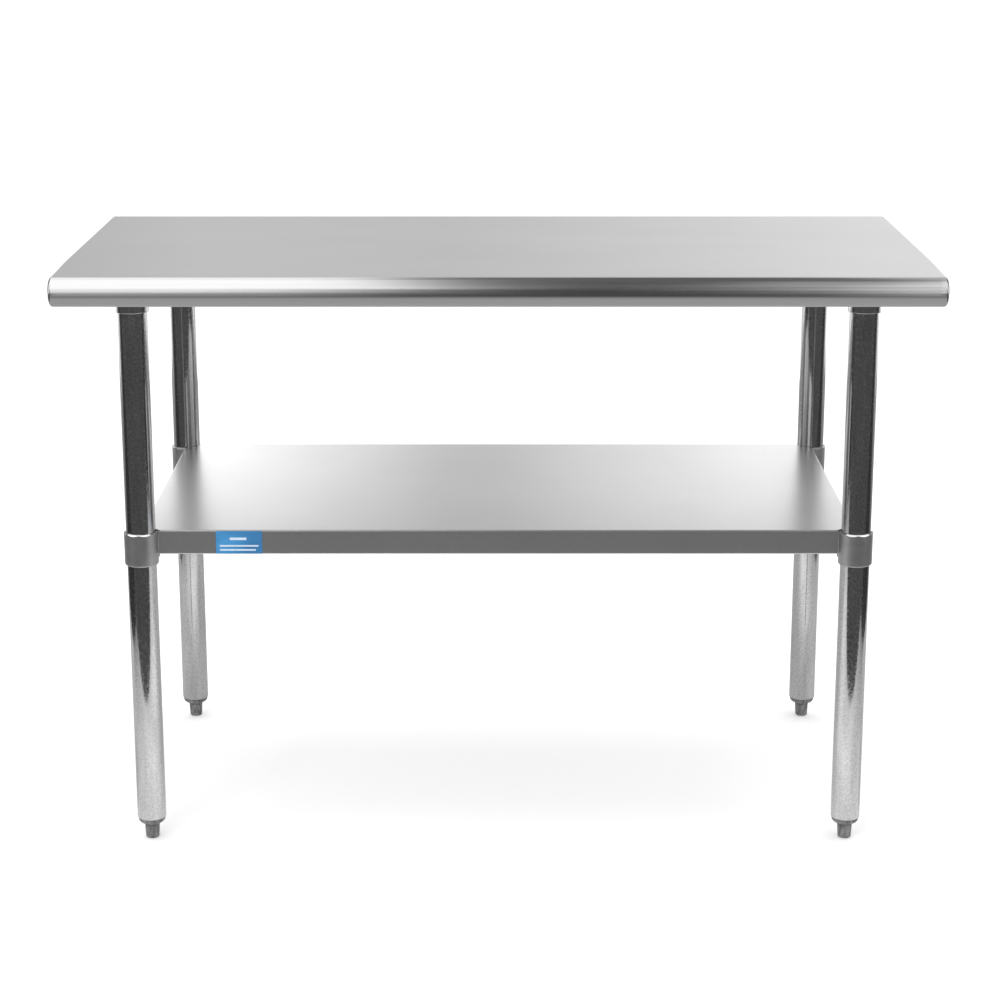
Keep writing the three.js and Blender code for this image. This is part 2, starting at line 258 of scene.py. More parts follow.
def plated_casting():
    paint = Paint("plated_casting", grey(0.56), 1.0, 0.12)
    grain = paint.noise((700, 700, 700), detail=3)
    clouds = paint.noise((60, 60, 60), detail=3)
    paint.tint(paint.ranged(clouds, 0, 1, 0.3, 0.7), grey(0.5), grey(0.62))
    paint.rough(paint.ranged(grain, 0.08, 0.15))
    paint.relief(paint.bump(grain, 0.00002))
    return paint.material


# Painted highlight: a near-white paint with faint streaks that stands in for the bright reflection on the
# collars' rims.
def rim_highlight_paint():
    paint = Paint("rim_highlight_paint", grey(0.95), 0.1, 0.3)
    highlight_streaks = paint.noise((60, 60, 4000), detail=2)
    paint.tint(highlight_streaks, grey(0.9), grey(0.98))
    paint.rough(paint.ranged(highlight_streaks, 0.25, 0.38))
    return paint.material


def black_oxide():
    paint = Paint("black_oxide", grey(0.05), 1.0, 0.4)
    wear = paint.noise((800, 800, 800), detail=4)
    paint.tint(paint.ranged(wear, 0, 1, 0.55, 0.75), grey(0.035), grey(0.16))
    paint.rough(paint.ranged(wear, 0.32, 0.5))
    return paint.material


def zinc_plate():
    paint = Paint("zinc_plate", grey(0.6), 1.0, 0.35)
    mottle = paint.noise((500, 500, 500), detail=4)
    paint.tint(paint.ranged(mottle, 0, 1, 0.3, 0.7), grey(0.5, 0.01), grey(0.68, 0.01))
    paint.rough(paint.ranged(mottle, 0.28, 0.42))
    return paint.material


def foot_plastic():
    paint = Paint("foot_plastic", grey(0.07), 0.0, 0.5)
    grain = paint.noise((1500, 1500, 1500), detail=2)
    scuffs = paint.noise((260, 260, 90), detail=4)
    paint.tint(paint.ranged(scuffs, 0, 1, 0.35, 0.65), grey(0.07), grey(0.2))
    paint.rough(paint.ranged(scuffs, 0.42, 0.6))
    paint.relief(paint.bump(grain, 0.00004))
    return paint.material


def label_film():
    paint = Paint("label_film", (0.05, 0.24, 0.5), 0.0, 0.35)
    wash = paint.noise((16, 16, 30), detail=1)
    grain = paint.noise((900, 900, 900), detail=2)
    paint.tint(paint.ranged(wash, 0, 1, 0.35, 0.65), (0.018, 0.14, 0.33), (0.035, 0.24, 0.5))
    paint.rough(paint.ranged(grain, 0.3, 0.42))
    return paint.material


def label_ink():
    paint = Paint("label_ink", grey(0.8), 0.0, 0.4)
    fade = paint.noise((300, 300, 300), detail=3)
    paint.tint(fade, (0.4, 0.52, 0.66), (0.62, 0.7, 0.78))
    return paint.material


STAINLESS = brushed_stainless()
SHELF_STEEL = galvanised_sheet()
TUBE = galvanised_tube()
CHANNEL = channel_steel()
CASTING = cast_aluminium()
PLATED = plated_casting()
RIM_HIGHLIGHT = rim_highlight_paint()
OXIDE = black_oxide()
ZINC = zinc_plate()
PLASTIC = foot_plastic()
FILM = label_film()
INK = label_ink()


# ---- mesh building ----
def new_piece(name, verts, faces, materials, sharp=35):
    """A smooth-shaded mesh whose edges over the sharp angle, in degrees, stay crisp."""
    mesh = bpy.data.meshes.new(name)
    mesh.from_pydata([tuple(v) for v in verts], [], faces)
    mesh.validate()
    work = bmesh.new()
    work.from_mesh(mesh)
    bmesh.ops.recalc_face_normals(work, faces=work.faces)
    work.to_mesh(mesh)
    work.free()
    for material in materials:
        mesh.materials.append(material)
    piece = bpy.data.objects.new(name, mesh)
    bpy.context.scene.collection.objects.link(piece)
    smooth(piece, sharp)
    return piece


def smooth(piece, sharp):
    """Shades the piece smooth, apart from edges over the sharp angle, in degrees."""
    mesh = piece.data
    mesh.polygons.foreach_set("use_smooth", [True] * len(mesh.polygons))
    work = bmesh.new()
    work.from_mesh(mesh)
    limit = math.radians(sharp)
    for edge in work.edges:
        edge.smooth = len(edge.link_faces) == 2 and edge.calc_face_angle(0) < limit
    work.to_mesh(mesh)
    work.free()


def flatten_shading(piece):
    """Lets large faces set the shading, so that flats next to small bends stay flat."""
    weigh = piece.modifiers.new("flat_shading", "WEIGHTED_NORMAL")
    weigh.mode = "FACE_AREA"
    weigh.weight = 100
    weigh.keep_sharp = True
    apply_modifiers(piece)


def loft(rings, loop=False):
    """Vertices and faces through rings of equal length.

    loop joins the last ring back to the first. Otherwise both end rings are capped.
    """
    count = len(rings[0])
    verts = [v for ring in rings for v in ring]
    faces = []
    pairs = [(k, k + 1) for k in range(len(rings) - 1)]
    if loop:
        pairs.append((len(rings) - 1, 0))
    for low, high in pairs:
        for i in range(count):
            j = (i + 1) % count
            faces.append((low * count + i, low * count + j, high * count + j, high * count + i))
    if not loop:
        faces.append(tuple(reversed(range(count))))
        faces.append(tuple(range((len(rings) - 1) * count, len(rings) * count)))
    return verts, faces


def even_angles(segments):
    return [2 * math.pi * i / segments for i in range(segments)]


def ring_at(centre, radius, height, segments):
    """A level ring of points.

    radius and height are numbers or functions of the angle. segments is a count or a list of angles.
    """
    points = []
    for angle in segments if isinstance(segments, list) else even_angles(segments):
        reach = radius(angle) if callable(radius) else radius
        level = height(angle) if callable(height) else height
        x = centre.x + reach * math.cos(angle)
        y = centre.y + reach * math.sin(angle)
        points.append(Vector((x, y, level)))
    return points


def arc(centre, radius, start, end, steps):
    """Points (u, v) on an arc from the start angle to the end angle, in degrees."""
    points = []
    for k in range(steps + 1):
        angle = math.radians(start + (end - start) * k / steps)
        points.append((centre[0] + radius * math.cos(angle), centre[1] + radius * math.sin(angle)))
    return points


def turned(name, centre, outline, materials):
    """A ring about the vertical through centre. outline lists (radius, height) round its section."""
    rings = [ring_at(centre, radius, height, ROUND_SEGMENTS) for radius, height in outline]
    verts, faces = loft(rings, loop=True)
    return new_piece(name, verts, faces, materials)


def finish_piece(piece, body, slot, *nodes):
    """Puts the piece on its body and hides the CAD nodes that it stands for. slot, the finish, is not
    used.
    """
    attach(piece, body)
    if nodes:
        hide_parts(*nodes)


def apply_modifiers(piece):
    """Makes the modified mesh the piece's own."""
    bpy.context.view_layer.update()
    evaluated = piece.evaluated_get(bpy.context.evaluated_depsgraph_get())
    mesh = bpy.data.meshes.new_from_object(evaluated)
    piece.modifiers.clear()
    piece.data = mesh


def combine(piece, operation, others):
    """Joins or cuts piece with the other solids, which are then deleted."""
    for other in others:
        modifier = piece.modifiers.new("combine", "BOOLEAN")
        modifier.operation = operation
        modifier.solver = "EXACT"
        modifier.object = other
        apply_modifiers(piece)
        bpy.data.objects.remove(other)


# ---- the top ----
def rolled_outline():
    """The top's end view, clockwise from the back of the flat.

    Each entry holds a point, its outward normal, and how far the dressed end curves in there:
    along the table and towards the middle of the section.
    """
    reach = TOP_HIGH.y - ROLL_RADIUS
    height = TOP_HIGH.z - ROLL_RADIUS
    bend = (SIDE_BEND, SIDE_BEND)

    def roll(middle_y, start, end, curve):
        points = []
        for k in range(ROLL_STEPS + 1):
            angle = math.radians(start + (end - start) * k / ROLL_STEPS)
            normal = Vector((0, math.cos(angle), math.sin(angle)))
            points.append((Vector((0, middle_y, height)) + normal * ROLL_RADIUS, normal, *curve))
        return points

    inner = reach - 15 * MM
    returns = [(Vector((0, y, height - ROLL_RADIUS)), -UP, *bend) for y in (inner, -inner)]
    front_flat = []
    for k in range(1, FLAT_STEPS + 1):
        share = k / FLAT_STEPS
        fade = (1 - share) ** 2 * (1 + 2 * share)
        inset = SIDE_BEND + (ROLL_END_INSET - SIDE_BEND) * fade
        depth = SIDE_BEND + (ROLL_END_REACH - SIDE_BEND) * fade
        front_flat.append((Vector((0, END_ROUND_RUN * share - reach, TOP_HIGH.z)), UP, inset, depth))
    front_roll = roll(-reach, 270, 90, (ROLL_END_INSET, ROLL_END_REACH))
    return roll(reach, 90, -90, bend) + returns + front_roll + front_flat


def top_sheet():
    """The sheet with its rolled edges and turned-down ends, open underneath between them."""
    outline = rolled_outline()
    end_angles = [math.radians(15 * k) for k in range(7)]
    stations = [(-1, angle) for angle in reversed(end_angles)] + [(-1, None), (1, None)]
    stations += [(1, angle) for angle in end_angles]
    rings = []
    for side, angle in stations:
        ring = []
        for point, normal, inset, depth in outline:
            if angle is None:
                ring.append(point + Vector((side * (TOP_HIGH.x - SIDE_RETURN), 0, 0)))
            else:
                x = TOP_HIGH.x - inset * (1 - math.sin(angle))
                ring.append(point - normal * depth * (1 - math.cos(angle)) + Vector((side * x, 0, 0)))
        rings.append(ring)
    verts, faces = loft(rings)
    count = len(outline)
    mouth_column = len(end_angles)
    mouth = {mouth_column * count + ROLL_STEPS + k for k in range(3)}
    kept = [face for face in faces if not (face[0] in mouth and face[3] == face[0] + count)]
    piece = new_piece("table_top_sheet", verts, kept, [STAINLESS], sharp=60)
    thick = piece.modifiers.new("sheet", "SOLIDIFY")
    thick.thickness = TOP_SHEET
    thick.offset = -1
    thick.use_even_offset = True
    apply_modifiers(piece)
    smooth(piece, 60)
    flatten_shading(piece)
    finish_piece(piece, "frame", "stainless_top", "table_top")


def thread_radius(radius, depth, pitch, height):
    """A screw thread's radius at an angle and a height, as a function of the angle."""
    def at(angle):
        turn = (height / pitch - angle / (2 * math.pi)) % 1.0
        return radius - depth * abs(2 * turn - 1)
    return at


def threaded(centre, radius, low, high, pitch, segments, per_pitch):
    """Rings of a threaded rod from low to high, with a chamfer at both ends."""
    depth = 0.55 * pitch
    end_radius = radius - 1.1 * depth
    steps = max(2, round((high - low) / pitch * per_pitch))
    rings = [ring_at(centre, end_radius, low, segments)]
    for k in range(1, steps):
        height = low + (high - low) * k / steps
        rings.append(ring_at(centre, thread_radius(radius, depth, pitch, height), height, segments))
    rings.append(ring_at(centre, end_radius, high, segments))
    return rings


def weld_studs():
    """The studs under the top, one through each channel nut."""
    past_nut = 1.9 * MM
    into_sheet = 0.1 * MM
    pitch = 1 * MM
    high = TOP_HIGH.z - TOP_SHEET + into_sheet
    verts, faces = [], []
    for index in range(1, NUT_COUNT + 1):
        centre = middle(f"channel_nut_{index}")
        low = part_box(f"channel_nut_{index}")[0].z - past_nut
        more, sides = loft(threaded(centre, STUD_RADIUS, low, high, pitch, segments=24, per_pitch=6))
        faces += [tuple(v + len(verts) for v in face) for face in sides]
        verts += more
    piece = new_piece("weld_studs", verts, faces, [ZINC])
    finish_piece(piece, "frame", "nut_steel", "table_top")


def hexagon(across_flats):
    """The radius of a hexagon as a function of the angle."""
    def at(angle):
        turn = (angle + math.pi / 6) % (math.pi / 3) - math.pi / 6
        return across_flats / 2 / math.cos(turn)
    return at


def channel_nut(index):
    """A hexagon nut whose corners and bore are chamfered on both faces."""
    node = f"channel_nut_{index}"
    low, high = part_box(node)
    flats = hexagon(10 * MM)
    bore = 3.2 * MM
    chamfer = 0.7 * MM

    def clipped(limit):
        return lambda angle: min(flats(angle + math.pi / 6), limit)

    half = [(bore, chamfer), (bore + 0.5 * MM, 0), (clipped(4.8 * MM), 0)]
    half += [(clipped(5.35 * MM), 0.4 * chamfer), (clipped(5.77 * MM), chamfer)]
    outline = [(radius, low.z + depth) for radius, depth in half]
    outline += [(radius, high.z - depth) for radius, depth in reversed(half)]
    rings = [ring_at(middle(node), radius, height, 48) for radius, height in outline]
    verts, faces = loft(rings, loop=True)
    piece = new_piece(f"hex_nut_{index}", verts, faces, [ZINC], sharp=25)
    finish_piece(piece, "frame", "nut_steel", node)


# ---- legs and feet ----
def leg(corner):
    """A tube with its lower end rolled in a little and a faint weld seam down its length."""
    node = f"leg_{corner}"
    low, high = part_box(node)
    lip = 2.2 * MM
    chamfer = 0.5 * MM
    inner = LEG_RADIUS - LEG_WALL
    seam = math.radians(270 + SEAM_TURN[corner])
    clear = 1.3 * SEAM_HALF_ANGLE
    angles = [angle for angle in even_angles(LEG_SEGMENTS) if abs(angle - seam) > clear]
    angles += [seam + share * SEAM_HALF_ANGLE for share in (-1, -0.5, 0, 0.5, 1)]
    angles.sort()

    def seamed(angle):
        return LEG_RADIUS + SEAM_HEIGHT * max(0, 1 - abs(angle - seam) / SEAM_HALF_ANGLE)

    outline = [(inner, low.z)]
    outline += arc((LEG_RADIUS - lip, low.z + lip), lip, 290, 360, 6)
    outline += [(LEG_RADIUS, high.z - chamfer), (LEG_RADIUS - chamfer, high.z), (inner, high.z)]
    rings = []
    for radius, height in outline:
        rings.append(ring_at(middle(node), seamed if radius == LEG_RADIUS else radius, height, angles))
    verts, faces = loft(rings, loop=True)
    piece = new_piece(f"leg_tube_{corner}", verts, faces, [TUBE])
    flatten_shading(piece)
    finish_piece(piece, "frame", "leg_steel", node)


def foot_insert(corner):
    """The plug in a leg's lower end. It flares from its tip to a rim under the tube."""
    node = f"foot_insert_{corner}"
    low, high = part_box(node)
    rim = size(node).x / 2
    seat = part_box(f"leg_{corner}")[0].z - GAP
    bore = FOOT_STEM_RADIUS + GAP
    sleeve = LEG_RADIUS - LEG_WALL - GAP
    chamfer = 0.5 * MM
    tip = 11.4 * MM
    tip_round = 0.8 * MM
    flare = 6.8 * MM
    outline = [(bore, low.z + chamfer), (bore + chamfer, low.z)]
    outline += arc((tip - tip_round, low.z + tip_round), tip_round, 270, 350, 5)
    outline += arc((tip + 1.2 * MM, seat - 0.6 * MM), flare, -62, -8, 8)
    outline += [(rim, seat - 0.9 * MM), (rim, seat), (sleeve, seat), (sleeve, high.z), (bore, high.z)]
    piece = turned(f"leg_plug_{corner}", middle(node), outline, [PLASTIC])
    flatten_shading(piece)
    finish_piece(piece, "frame", "foot_plastic", node)


def bullet_foot(corner):
    """A foot that widens a little from its rounded bottom to its shoulder, under a threaded stem."""
    node = f"bullet_foot_{corner}"
    centre = middle(node)
    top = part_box(node)[1].z
    radius = size(node).x / 2
    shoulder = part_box(f"foot_insert_{corner}")[0].z - GAP
    dish = 0.4 * MM
    taper = 1.1 * MM
    bottom_round = 2.6 * MM
    shoulder_round = 1 * MM
    pitch = 1.75 * MM
    outline = [(3 * MM, dish), (5.8 * MM, dish), (6.4 * MM, 0)]
    outline += arc((radius - taper - bottom_round, bottom_round), bottom_round, 270, 357, 9)
    outline += arc((radius - shoulder_round, shoulder - shoulder_round), shoulder_round, 0, 90, 5)
    rings = [ring_at(centre, reach, height, 48) for reach, height in outline]
    rings += threaded(centre, FOOT_STEM_RADIUS, shoulder, top, pitch, segments=48, per_pitch=8)
    verts, faces = loft(rings)
    piece = new_piece(f"levelling_foot_{corner}", verts, faces, [PLASTIC])
    finish_piece(piece, f"foot_{corner}", "foot_plastic", node)


# ---- sockets and set screws ----
def inward(corner):
    """The unit direction from a leg to the middle of the table, as the set screws point."""
    side = 1 if corner.endswith("right") else -1
    end = 1 if corner.startswith("back") else -1
    return Vector((-side, -end, 0)).normalized()


def pointing(start, direction):
    """The placement that lays an upright shape at the origin along direction from start."""
    return Matrix.Translation(start) @ UP.rotation_difference(direction).to_matrix().to_4x4()


def bar(name, start, direction, length, radius, segments, materials):
    """A round bar from start along direction."""
    verts, faces = loft([ring_at(ORIGIN, radius, height, segments) for height in (0, length)])
    place = pointing(start, direction)
    return new_piece(name, [place @ v for v in verts], faces, materials)


def screw_height(kind, corner):
    return middle(f"{kind}_set_screw_{corner}").z


def drilled(piece, centre, corner, height, materials):
    """Adds the boss for the set screw and drills it through to the leg's bore."""
    direction = inward(corner)
    axis = Vector((centre.x, centre.y, height))
    start = axis + direction * (LEG_BORE + 0.6 * MM)
    boss = bar("boss", start, direction, 4.9 * MM, SCREW_RADIUS + 1.8 * MM, 64, materials)
    combine(piece, "UNION", [boss])
    start = axis + direction * (LEG_RADIUS - 5 * MM)
    hole = bar("hole", start, direction, 20 * MM, SCREW_RADIUS + GAP, 48, materials)
    combine(piece, "DIFFERENCE", [hole])


def corner_plate(name, corner, outline, low, high, materials):
    """A flat plate by a leg. outline lists (x, y) from the leg's axis towards the middle of the table."""
    centre = middle(f"leg_{corner}")
    inwards = inward(corner)
    across = math.copysign(1, inwards.x)
    along = math.copysign(1, inwards.y)
    rings = []
    for height in (low, high):
        rings.append([Vector((centre.x + across * x, centre.y + along * y, height)) for x, y in outline])
    verts, faces = loft(rings)
    return new_piece(name, verts, faces, materials)


def shelf_socket(corner):
    """A cast collar with a gusset plate under the shelf, and a rim cut in shallow lobes, with a painted
    highlight on its outward side.
    """
    node = f"shelf_socket_{corner}"
    low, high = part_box(node)
    centre = middle(f"leg_{corner}")
    materials = [CASTING, RIM_HIGHLIGHT]
    around = 192
    outer = abs((low if centre.x < 0 else high).x - centre.x)
    bottom_round = 2.2 * MM

    def lobe(angle):
        return 0.5 * MM + 1.7 * MM * abs(math.sin(4 * (angle - math.pi / 2)))

    profile = [(LEG_BORE, low.z + 0.8 * MM), (LEG_BORE + 0.8 * MM, low.z)]
    profile += arc((outer - bottom_round, low.z + bottom_round), bottom_round, 290, 360, 6)
    profile += [(outer, high.z - 3 * MM), (outer, lambda angle: high.z - lobe(angle))]
    profile += [(lambda angle: outer - lobe(angle), high.z), (LEG_BORE + 0.4 * MM, high.z)]
    profile += [(LEG_BORE, high.z - 0.6 * MM)]
    rings = [ring_at(centre, radius, height, around) for radius, height in profile]
    verts, faces = loft(rings, loop=True)
    piece = new_piece(f"shelf_collar_{corner}", verts, faces, materials)
    # Painted highlight: the near-white rim paint goes only on the lobed rim's faces that look out from
    # the table.
    rim_rings = range(len(rings) - 4, len(rings) - 2)
    for face in piece.data.polygons:
        outwards = (face.center - centre).xy.normalized().y * math.copysign(1, centre.y)
        if face.index // around in rim_rings and outwards > 0.72:
            face.material_index = 1
    inset = SHELF_SHEET + GAP
    reach = 62 * MM
    blunt = reach / 4
    corners = [(inset, inset), (reach, inset), (reach, blunt), (blunt, reach), (inset, reach)]
    wing = corner_plate("wing", corner, corners, high.z - 3 * MM, high.z, materials)
    below = Vector((centre.x, centre.y, low.z - MM))
    bore = bar("bore", below, UP, 60 * MM, LEG_BORE + MM, LEG_SEGMENTS, materials)
    combine(wing, "DIFFERENCE", [bore])
    combine(piece, "UNION", [wing])
    drilled(piece, centre, corner, screw_height("shelf", corner), materials)
    smooth(piece, 32)
    flatten_shading(piece)
    finish_piece(piece, "shelf", "cast_aluminium", node)


def top_socket(corner):
    """The cup over a leg's upper end, with a round flange under the channel."""
    node = f"top_socket_{corner}"
    low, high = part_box(node)
    centre = middle(f"leg_{corner}")
    outer = TOP_CUP_RADIUS
    flange = size(node).x / 2
    flange_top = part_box("top_channel_left")[0].z - GAP
    plate = 3 * MM
    flange_low = flange_top - plate
    chamfer = 0.8 * MM
    lip = 1.2 * MM
    fillet = 2 * MM
    flange_chamfer = 0.6 * MM
    vent = 2 * MM
    outline = [(LEG_BORE, low.z + chamfer), (LEG_BORE + chamfer, low.z)]
    outline += arc((outer - lip, low.z + lip), lip, 280, 360, 4)
    outline += arc((outer + fillet, flange_low - fillet), fillet, 180, 90, 5)
    outline += [(flange - flange_chamfer, flange_low), (flange, flange_low + flange_chamfer)]
    outline += [(flange, flange_top), (outer, flange_top), (outer, high.z)]
    outline += [(vent, high.z), (vent, high.z - plate), (LEG_BORE, high.z - plate)]
    piece = turned(f"leg_cup_{corner}", centre, outline, [PLATED])
    drilled(piece, centre, corner, screw_height("top", corner), [PLATED])
    smooth(piece, 40)
    flatten_shading(piece)
    finish_piece(piece, "frame", "cast_aluminium", node)


def set_screw(kind, corner):
    """A headless screw: thread, chamfered ends and a hexagon key hole in the outer end."""
    node = f"{kind}_set_screw_{corner}"
    pitch = 1.25 * MM
    key = hexagon(4 * MM)
    key_depth = 4.5 * MM
    rings = threaded(ORIGIN, SCREW_RADIUS, 0, SCREW_LENGTH, pitch, segments=48, per_pitch=8)
    rings.append(ring_at(ORIGIN, lambda angle: key(angle) * 1.12, SCREW_LENGTH, 48))
    rings.append(ring_at(ORIGIN, key, SCREW_LENGTH - 0.3 * MM, 48))
    rings.append(ring_at(ORIGIN, key, SCREW_LENGTH - key_depth, 48))
    rings.append(ring_at(ORIGIN, 0.5 * MM, SCREW_LENGTH - key_depth - 0.7 * MM, 48))
    verts, faces = loft(rings)
    direction = inward(corner)
    centre = middle(f"leg_{corner}")
    start = Vector((centre.x, centre.y, screw_height(kind, corner))) + direction * LEG_BORE
    place = pointing(start, direction)
    verts = [place @ v for v in verts]
    piece = new_piece(f"{kind}_grub_screw_{corner}", verts, faces, [OXIDE], sharp=30)
    finish_piece(piece, f"{kind}_screw_{corner}", "screw_steel", node)


# ---- the shelf ----
def undershelf():
    """An upside-down tray of sheet. Its edges stop at the collars and its flat at the legs."""
    bend = 1.7 * MM
    inner = bend - SHELF_SHEET
    lip = 12 * MM
    low, high = SHELF_LOW.z, SHELF_HIGH.z
    profile = arc((bend, high - bend), bend, 90, 180, 6)
    profile += arc((bend, low + bend), bend, 180, 270, 6)
    profile += [(lip, low), (lip, low + SHELF_SHEET)]
    profile += arc((bend, low + bend), inner, 270, 180, 4)
    profile += arc((bend, high - bend), inner, 180, 90, 4)
    rings = []
    for inset, height in profile:
        x, y = SHELF_HIGH.x - inset, SHELF_HIGH.y - inset
        rings.append([Vector((u * x, v * y, height)) for u, v in ((-1, -1), (1, -1), (1, 1), (-1, 1))])
    verts, faces = loft(rings)
    piece = new_piece("shelf_sheet", verts, faces, [SHELF_STEEL])
    underside = high - SHELF_SHEET
    collar = abs(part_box("shelf_socket_front_left")[0].x - middle("leg_front_left").x)
    flat_notch = 27 * MM
    lip_notch = 38 * MM
    flat_cut = [(-MM, -MM), (flat_notch + MM, -MM), (-MM, flat_notch + MM)]
    lip_cut = [(SHELF_SHEET, SHELF_SHEET), (lip_notch, SHELF_SHEET), (SHELF_SHEET, lip_notch)]
    lip_top = low + SHELF_SHEET + GAP
    steel = [SHELF_STEEL]
    for corner in CORNERS:
        centre = middle(f"leg_{corner}")
        below = Vector((centre.x, centre.y, low - MM))
        combine(piece, "DIFFERENCE", [
            bar("edge_cut", below, UP, underside - low + MM, collar + GAP, ROUND_SEGMENTS, steel),
            bar("leg_hole", below, UP, 60 * MM, LEG_RADIUS + 0.75 * MM, ROUND_SEGMENTS, steel),
            corner_plate("flat_cut", corner, flat_cut, underside - 0.01 * MM, high + MM, steel),
            corner_plate("lip_cut", corner, lip_cut, low - MM, lip_top, steel),
        ])
    smooth(piece, 40)
    flatten_shading(piece)
    finish_piece(piece, "shelf", "shelf_steel", "undershelf")


def shelf_label():
    """A blank film sticker with rounded corners and three plain bars of ink."""
    low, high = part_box("shelf_label")
    face = low.y + 0.1 * MM
    ink_face = low.y + 0.04 * MM
    back = SHELF_LOW.y - 0.02 * MM

    def slab(x0, x1, z0, z1, y0, y1, radius):
        left, right = x0 + radius, x1 - radius
        bottom, top = z0 + radius, z1 - radius
        outline = []
        for quarter, centre in enumerate(((right, top), (left, top), (left, bottom), (right, bottom))):
            outline += arc(centre, radius, 90 * quarter, 90 * quarter + 90, 6)
        return loft([[Vector((x, y, z)) for x, z in outline] for y in (y1, y0)])

    film = new_piece("label_film", *slab(low.x, high.x, low.z, high.z, face, back, 1.2 * MM), [FILM])
    finish_piece(film, "shelf", "label_film", "shelf_label")
    width, height = high.x - low.x, high.z - low.z
    # Each bar's left end, right end, lower edge and thickness, as shares of the sticker.
    bars = ((0.3, 0.66, 0.6, 0.11), (0.08, 0.92, 0.31, 0.07), (0.08, 0.86, 0.13, 0.07))
    for index, (left, right, bottom, thickness) in enumerate(bars):
        x0 = low.x + width * left
        x1 = low.x + width * right
        z0 = low.z + height * bottom
        z1 = z0 + height * thickness
        ink = new_piece(f"label_bar_{index + 1}", *slab(x0, x1, z0, z1, ink_face, face, 0.6 * MM), [INK])
        finish_piece(ink, "shelf", "label_film")


def plain_channels():
    """The hat channels keep their CAD shape, with their bends rounded."""
    for node in ("top_channel_left", "top_channel_right", "top_channel_center", "shelf_channel"):
        channel = frame["nodes"][node]
        channel.data.materials.clear()
        channel.data.materials.append(CHANNEL)
        bend = channel.modifiers.new("bends", "BEVEL")
        bend.width = 1.1 * MM
        bend.segments = 3
        bend.limit_method = "ANGLE"
        bend.angle_limit = math.radians(50)


top_sheet()
weld_studs()
for number in range(1, NUT_COUNT + 1):
    channel_nut(number)
plain_channels()
undershelf()
shelf_label()
for where in CORNERS:
    leg(where)
    foot_insert(where)
    bullet_foot(where)
    shelf_socket(where)
    top_socket(where)
    set_screw("shelf", where)
    set_screw("top", where)


# ---- the studio ----
CARD_LIFT = 1.5 * MM
SCREEN_FRONT = -0.88   # the floor screens reach from here to SCREEN_BACK along Y
SCREEN_BACK = 1.4
SCREEN_INNER = 0.6     # the side screens reach from here to SCREEN_OUTER along X
SCREEN_OUTER = 1.43
FAR = 8
WALL_Y = -7
CEILING = 3.6
CEILING_HALF = 2.6


def glow(name, stops, axis):
    """An emission whose strength follows stops along one axis of the card.

    A stop is (place from 0 to 1, strength). One stop alone gives the whole card that strength.
    """
    material = bpy.data.materials.new(name)
    material.use_nodes = True
    nodes = material.node_tree.nodes
    links = material.node_tree.links
    nodes.clear()
    emission = nodes.new("ShaderNodeEmission")
    output = nodes.new("ShaderNodeOutputMaterial")
    links.new(emission.outputs["Emission"], output.inputs["Surface"])
    if len(stops) == 1:
        emission.inputs["Strength"].default_value = stops[0][1]
        return material
    place = nodes.new("ShaderNodeTexCoord")
    split = nodes.new("ShaderNodeSeparateXYZ")
    ramp = nodes.new("ShaderNodeFloatCurve")
    curve = ramp.mapping.curves[0]
    ramp.mapping.extend = "HORIZONTAL"
    top = max(strength for _, strength in stops)
    curve.points[0].location = (stops[0][0], stops[0][1] / top)
    curve.points[1].location = (stops[-1][0], stops[-1][1] / top)
    for at, strength in stops[1:-1]:
        curve.points.new(at, strength / top)
    for point in curve.points:
        point.handle_type = "VECTOR"
    ramp.mapping.update()
    scale = nodes.new("ShaderNodeMath")
    scale.operation = "MULTIPLY"
    scale.inputs[1].default_value = top
    links.new(place.outputs["Generated"], split.inputs["Vector"])
    links.new(split.outputs[axis], ramp.inputs["Value"])
    links.new(ramp.outputs["Value"], scale.inputs[0])
    links.new(scale.outputs["Value"], emission.inputs["Strength"])
    return material


def card(name, corners, stops, axis="X"):
    """A flat card that only mirror-like surfaces see, as a photographer's flag or reflector."""
    mesh = bpy.data.meshes.new(name)
    mesh.from_pydata(corners, [], [tuple(range(len(corners)))])
    mesh.materials.append(glow(name, stops, axis))
    piece = bpy.data.objects.new(name, mesh)
    bpy.context.scene.collection.objects.link(piece)
    piece.visible_camera = False
    piece.visible_diffuse = False
    piece.visible_shadow = False
    piece.visible_transmission = False


def level_card(name, low_x, high_x, low_y, high_y, z, stops, axis="X"):
    corners = [(low_x, low_y, z), (high_x, low_y, z), (high_x, high_y, z), (low_x, high_y, z)]
    card(name, corners, stops, axis)


def upright_card(name, low_x, high_x, y, low_z, high_z, stops):
    corners = [(low_x, y, low_z), (high_x, y, low_z), (high_x, y, high_z), (low_x, y, high_z)]
    card(name, corners, stops)


def side_card(name, x, front, back, bottom, top, stops):
    """A card facing the table from its left or right side."""
    corners = [(x, front, bottom), (x, back, bottom), (x, back, top), (x, front, top)]
    card(name, corners, stops, "Y")


def facing(stops, side):
    """Stops along X for the right side of the table, or mirrored for the left."""
    return stops if side > 0 else [(1 - place, strength) for place, strength in reversed(stops)]


def floor():
    mesh = bpy.data.meshes.new("floor")
    reach = 60
    corners = [(-reach, -reach, 0), (reach, -reach, 0), (reach, reach, 0), (-reach, reach, 0)]
    mesh.from_pydata(corners, [], [(0, 1, 2, 3)])
    paint = Paint("floor_paint", grey(0.88), 0.0, 0.9)
    paint.shader.inputs["Emission Color"].default_value = (1, 1, 1, 1)
    paint.shader.inputs["Emission Strength"].default_value = 0.2
    mesh.materials.append(paint.material)
    piece = bpy.data.objects.new("floor", mesh)
    bpy.context.scene.collection.objects.link(piece)


